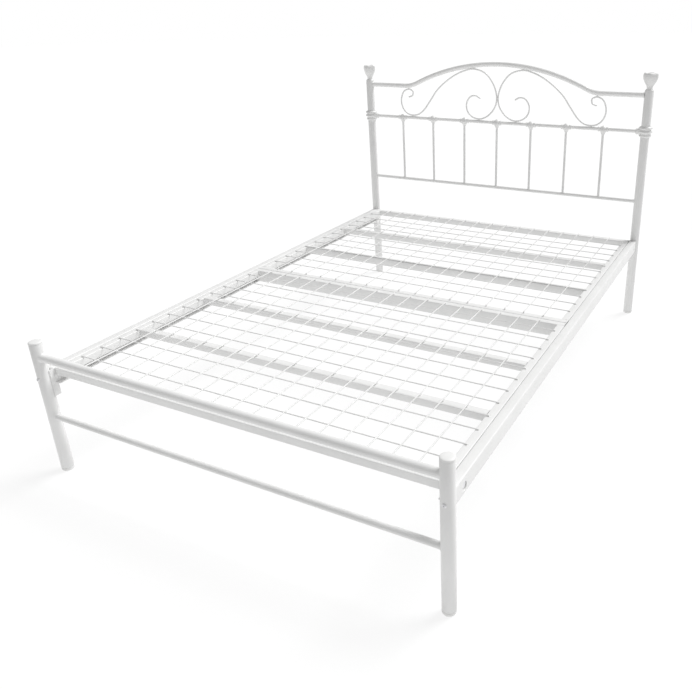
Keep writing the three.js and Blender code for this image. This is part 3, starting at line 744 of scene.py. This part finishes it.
def wire_mesh(name, bars, first):
    """Round wires, each a little off straight, with a squeezed spot weld at every crossing."""
    shell = Shell()
    row_z = DECK_Z + 0.1 + WIRE_R
    column_z = row_z + 2 * WIRE_R - 0.7
    reach = DECK_SIDE - BAR + 9
    start, end = bars[0] + BAR - 9, bars[-1] + 9
    rows = [first + i * WIRE_PITCH for i in range(12)]
    columns = [(i - 8) * WIRE_PITCH for i in range(17)]
    def wander(seed, s):
        return 0.7 * noise.noise(Vector((s * 0.004, seed * 7.3, 1.7)))
    for i, y in enumerate(rows):
        path = []
        for k in range(-18, 19):
            x = reach * k / 18
            path.append(Vector((x, FOOT_Y + y + wander(i, x), row_z)))
        sweep(shell, path, WIRE_R, 8, up=Vector((0, 0, 1)), round_ends=True)
    for i, x in enumerate(columns):
        path = []
        for k in range(27):
            y = start + (end - start) * k / 26
            path.append(Vector((x + wander(i + 40, y), FOOT_Y + y, column_z)))
        sweep(shell, path, WIRE_R, 8, up=Vector((0, 0, 1)), round_ends=True)
    for i, y in enumerate(rows):
        for j, x in enumerate(columns):
            blob(shell, (x + wander(j + 40, y), FOOT_Y + y + wander(i, x), (row_z + column_z) / 2),
                 (2.9, 2.9, 1.5), sides=8, rows=4)
        for side in (-1, 1):
            weld_y = FOOT_Y + y + wander(i, side * reach)
            blob(shell, (side * (reach - 3), weld_y, DECK_Z + 0.7), (4.2, 3.0, 1.2))
    for j, x in enumerate(columns):
        for y in (start + 3, end - 3):
            blob(shell, (x + wander(j + 40, y), FOOT_Y + y, DECK_Z + 1.6), (2.6, 4.2, 2.6))
        for y in bars[1:-1]:
            blob(shell, (x + wander(j + 40, y), FOOT_Y + y + BAR / 2, DECK_Z + 1.6), (2.4, 3.6, 2.6))
    return piece(name, name, shell, WIRE_PAINT, sharp=60)


# ---- The whole bed -------------------------------------------------------------------------

def build():
    for hand, side in (("left", -1), ("right", 1)):
        x = side * POST_X
        post(f"head_post_{hand}", x, HEAD_Y, HEAD_POST_TOP)
        post(f"foot_post_{hand}", x, FOOT_Y, FOOT_POST_TOP)
        floor_glide(f"head_floor_glide_{hand}", x, HEAD_Y)
        floor_glide(f"foot_floor_glide_{hand}", x, FOOT_Y)
        post_cap(f"foot_post_cap_{hand}", x, FOOT_Y)
        finial(f"finial_{hand}", x, HEAD_Y)
        post_collar(f"post_collar_{hand}", x, HEAD_Y, side)
        scroll(f"scroll_{hand}", side)
        side_rail(f"side_rail_{hand}", side)
    top_rail()
    straight_rail("head_middle_rail", ROD_R, MIDDLE_Z, HEAD_Y)
    straight_rail("head_lower_rail", ROD_R, LOWER_Z, HEAD_Y)
    straight_rail("foot_top_rail", FOOT_TOP_R, FOOT_TOP_Z, FOOT_Y)
    straight_rail("foot_lower_rail", FOOT_LOWER_R, FOOT_LOWER_Z, FOOT_Y)
    for i in range(7):
        x = (i - 3) * SPINDLE_PITCH
        spindle(i + 1, x)
        knuckle(i + 1, x)
    for corner in CORNERS:
        bracket(corner)
        bolt(corner)
    for label, (bars, first, joint) in SECTIONS.items():
        last = len(bars) - 1
        for i, y in enumerate(bars):
            inward = (BAR,) if i == 0 else (0.0,)
            if i == joint:
                cross_bar(f"{label}_deck_joint_bar", y, JOINT_BAR_H, DECK_SIDE, inward)
            elif i in (0, last):
                cross_bar(f"{label}_deck_end_bar", y, BAR, DECK_SIDE, inward)
            else:
                cross_bar(f"{label}_deck_cross_bar_{i}", y, BAR, DECK_SIDE - BAR - 0.3, (0.0, BAR))
        for hand, side in (("left", -1), ("right", 1)):
            deck_side_bar(f"{label}_deck_side_bar_{hand}", side, bars[0] + BAR + 0.3, bars[last] - 0.3)
        wire_mesh(f"{label}_deck_mesh", bars, first)


build()


# ---- Camera, floor and light ---------------------------------------------------------------

CAMERA_PLACE = Vector((1.2398, FOOT_Y * MM - 1.1529, 1.3700))
CAMERA_YAW, CAMERA_PITCH, CAMERA_ROLL = (math.radians(a) for a in (26.46, 23.31, -0.90))
LENS = 36.61
LENS_SHIFT = (-0.1344, -0.0581)
FLOOR_GLOW = 0.80
WALL_LIGHT = 0.46
SUN_STRENGTH = 2.64
SUN_SPREAD = 30
SUN_TOWARDS = (0.303, 0.527, 0.795)


def look_matrix(place, yaw, pitch, roll):
    """A camera at `place`, turned left by yaw, tipped down by pitch and then rolled."""
    forward = Vector((-math.sin(yaw) * math.cos(pitch), math.cos(yaw) * math.cos(pitch), -math.sin(pitch)))
    level = Vector((math.cos(yaw), math.sin(yaw), 0))
    up = level.cross(forward)
    right = level * math.cos(roll) + up * math.sin(roll)
    top = up * math.cos(roll) - level * math.sin(roll)
    matrix = Matrix((right, top, -forward)).transposed().to_4x4()
    matrix.translation = place
    return matrix


def camera():
    data = bpy.data.cameras.new("camera")
    data.sensor_fit = "HORIZONTAL"
    data.sensor_width = 36.0
    data.lens = LENS
    data.shift_x, data.shift_y = LENS_SHIFT
    data.clip_end = 100
    obj = bpy.data.objects.new("camera", data)
    bpy.context.scene.collection.objects.link(obj)
    obj.matrix_world = look_matrix(CAMERA_PLACE, CAMERA_YAW, CAMERA_PITCH, CAMERA_ROLL)
    bpy.context.scene.camera = obj


def floor():
    """A broad floor of low reflectance and a soft glow of its own, so that shadows on it stay faint."""
    sides = 96
    shell = Shell()
    lathe(shell, [(0, 0), (3000, 0), (8000, 0), (30000, 0)], sides)
    material = bpy.data.materials.new("pale_floor")
    material.use_nodes = True
    nodes, links = material.node_tree.nodes, material.node_tree.links
    shader = nodes["Principled BSDF"]
    shader.inputs["Roughness"].default_value = 0.9
    shader.inputs["Specular IOR Level"].default_value = 0.0
    coords = nodes.new("ShaderNodeTexCoord")
    drift = nodes.new("ShaderNodeTexNoise")
    drift.inputs["Scale"].default_value = 2.0
    links.new(coords.outputs["Object"], drift.inputs["Vector"])
    tone = nodes.new("ShaderNodeValToRGB")
    tone.color_ramp.elements[0].color = (0.20, 0.20, 0.20, 1)
    tone.color_ramp.elements[1].color = (0.22, 0.22, 0.22, 1)
    links.new(drift.outputs["Fac"], tone.inputs["Fac"])
    links.new(tone.outputs["Color"], shader.inputs["Base Color"])
    shader.inputs["Emission Color"].default_value = (1, 1, 1, 1)
    shader.inputs["Emission Strength"].default_value = FLOOR_GLOW
    make_object("floor", shell, [material], sharp=80)


def soft_sun(name, towards, strength, spread):
    """A far light in the direction given, `spread` degrees across."""
    data = bpy.data.lights.new(name, "SUN")
    data.energy = strength
    data.angle = math.radians(spread)
    obj = bpy.data.objects.new(name, data)
    bpy.context.scene.collection.objects.link(obj)
    obj.matrix_world = Vector(towards).to_track_quat("Z", "Y").to_matrix().to_4x4()


def lights():
    """One broad sun from behind and to the right, and far walls that look white but give less light."""
    world = bpy.data.worlds.new("studio")
    world.use_nodes = True
    nodes, links = world.node_tree.nodes, world.node_tree.links
    dim = nodes["Background"]
    dim.inputs["Color"].default_value = (1, 1, 1, 1)
    dim.inputs["Strength"].default_value = WALL_LIGHT
    wall = nodes.new("ShaderNodeBackground")
    wall.inputs["Color"].default_value = (1, 1, 1, 1)
    wall.inputs["Strength"].default_value = 1.0
    ray = nodes.new("ShaderNodeLightPath")
    mix = nodes.new("ShaderNodeMixShader")
    links.new(ray.outputs["Is Camera Ray"], mix.inputs["Fac"])
    links.new(dim.outputs["Background"], mix.inputs[1])
    links.new(wall.outputs["Background"], mix.inputs[2])
    links.new(mix.outputs["Shader"], nodes["World Output"].inputs["Surface"])
    bpy.context.scene.world = world
    soft_sun("window", SUN_TOWARDS, SUN_STRENGTH, SUN_SPREAD)


camera()
floor()
lights()
bpy.context.scene.view_settings.view_transform = "Standard"
